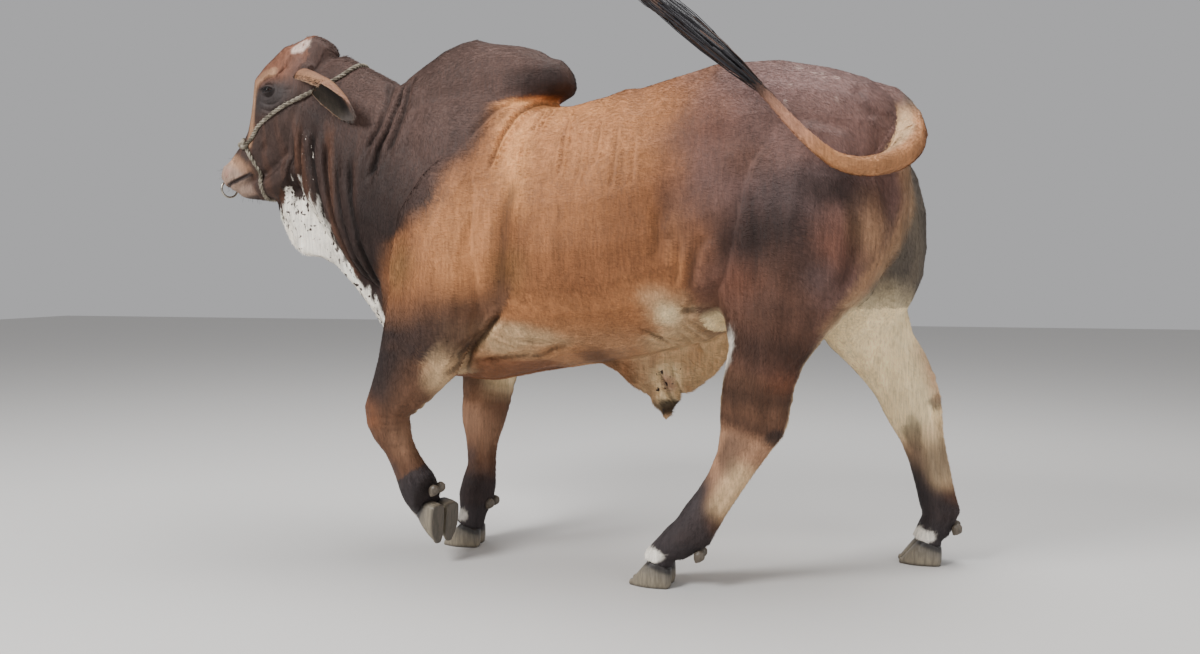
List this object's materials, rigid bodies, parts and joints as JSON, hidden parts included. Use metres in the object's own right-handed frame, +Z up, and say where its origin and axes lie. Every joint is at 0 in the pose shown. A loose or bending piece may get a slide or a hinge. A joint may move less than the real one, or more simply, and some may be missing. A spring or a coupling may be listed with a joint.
{
  "type": "brahman bull, still museum-style model",
  "caption": "Life-size Brahman bull, walking, with hump, dewlap, raised tail, rope halter and nose ring.",
  "frame": {"origin": "middle of the bounding box, on the floor that the soles stand on", "axes": "+Z up, -X the way the bull faces, -Y its left side"},
  "size_m": [2.3231, 0.762, 1.6856],
  "materials": {
    "tan_hide": "short smooth tan coat",
    "dark_hide": "short dark grey-brown coat",
    "rump_hide": "short purple-brown coat",
    "pale_hide": "loose pale skin with dark spots",
    "leg_hide": "short dark grey coat",
    "ear_hide": "soft short-haired ear",
    "switch_hair": "long dark hair",
    "horn": "worn hoof horn",
    "eye": "wet dark eye",
    "rope": "twisted grey-green rope",
    "ring": "plain steel wire"
  },
  "bodies": {
    "root": {"barrel": "tan_hide", "cannon_fore_left": "dark_hide", "cannon_fore_right": "dark_hide", "chest": "tan_hide", "claw_fore_left_left": "horn", "claw_fore_left_right": "horn", "claw_fore_right_left": "horn", "claw_fore_right_right": "horn", "claw_hind_left_left": "horn", "claw_hind_left_right": "horn", "claw_hind_right_left": "horn", "claw_hind_right_right": "horn", "dewclaw_fore_left_left": "horn", "dewclaw_fore_left_right": "horn", "dewclaw_fore_right_left": "horn", "dewclaw_fore_right_right": "horn", "dewclaw_hind_left_left": "horn", "dewclaw_hind_left_right": "horn", "dewclaw_hind_right_left": "horn", "dewclaw_hind_right_right": "horn", "dewlap": "pale_hide", "ear_left": "ear_hide", "ear_right": "ear_hide", "eye_left": "eye", "eye_right": "eye", "forearm_fore_left": "dark_hide", "forearm_fore_right": "dark_hide", "gaskin_hind_left": "rump_hide", "gaskin_hind_right": "rump_hide", "halter_chin": "rope", "halter_headstall": "rope", "halter_knot_left": "rope", "halter_knot_right": "rope", "halter_nose": "rope", "head": "dark_hide", "hock_hind_left": "leg_hide", "hock_hind_right": "leg_hide", "hump": "dark_hide", "neck": "dark_hide", "nose_ring": "ring", "pastern_fore_left": "leg_hide", "pastern_fore_right": "leg_hide", "pastern_hind_left": "leg_hide", "pastern_hind_right": "leg_hide", "rump": "rump_hide", "scrotum": "pale_hide", "sheath": "pale_hide", "tail_end": "tan_hide", "tail_middle": "tan_hide", "tail_root": "tan_hide", "tail_switch": "switch_hair"}
  },
  "joints": []
}
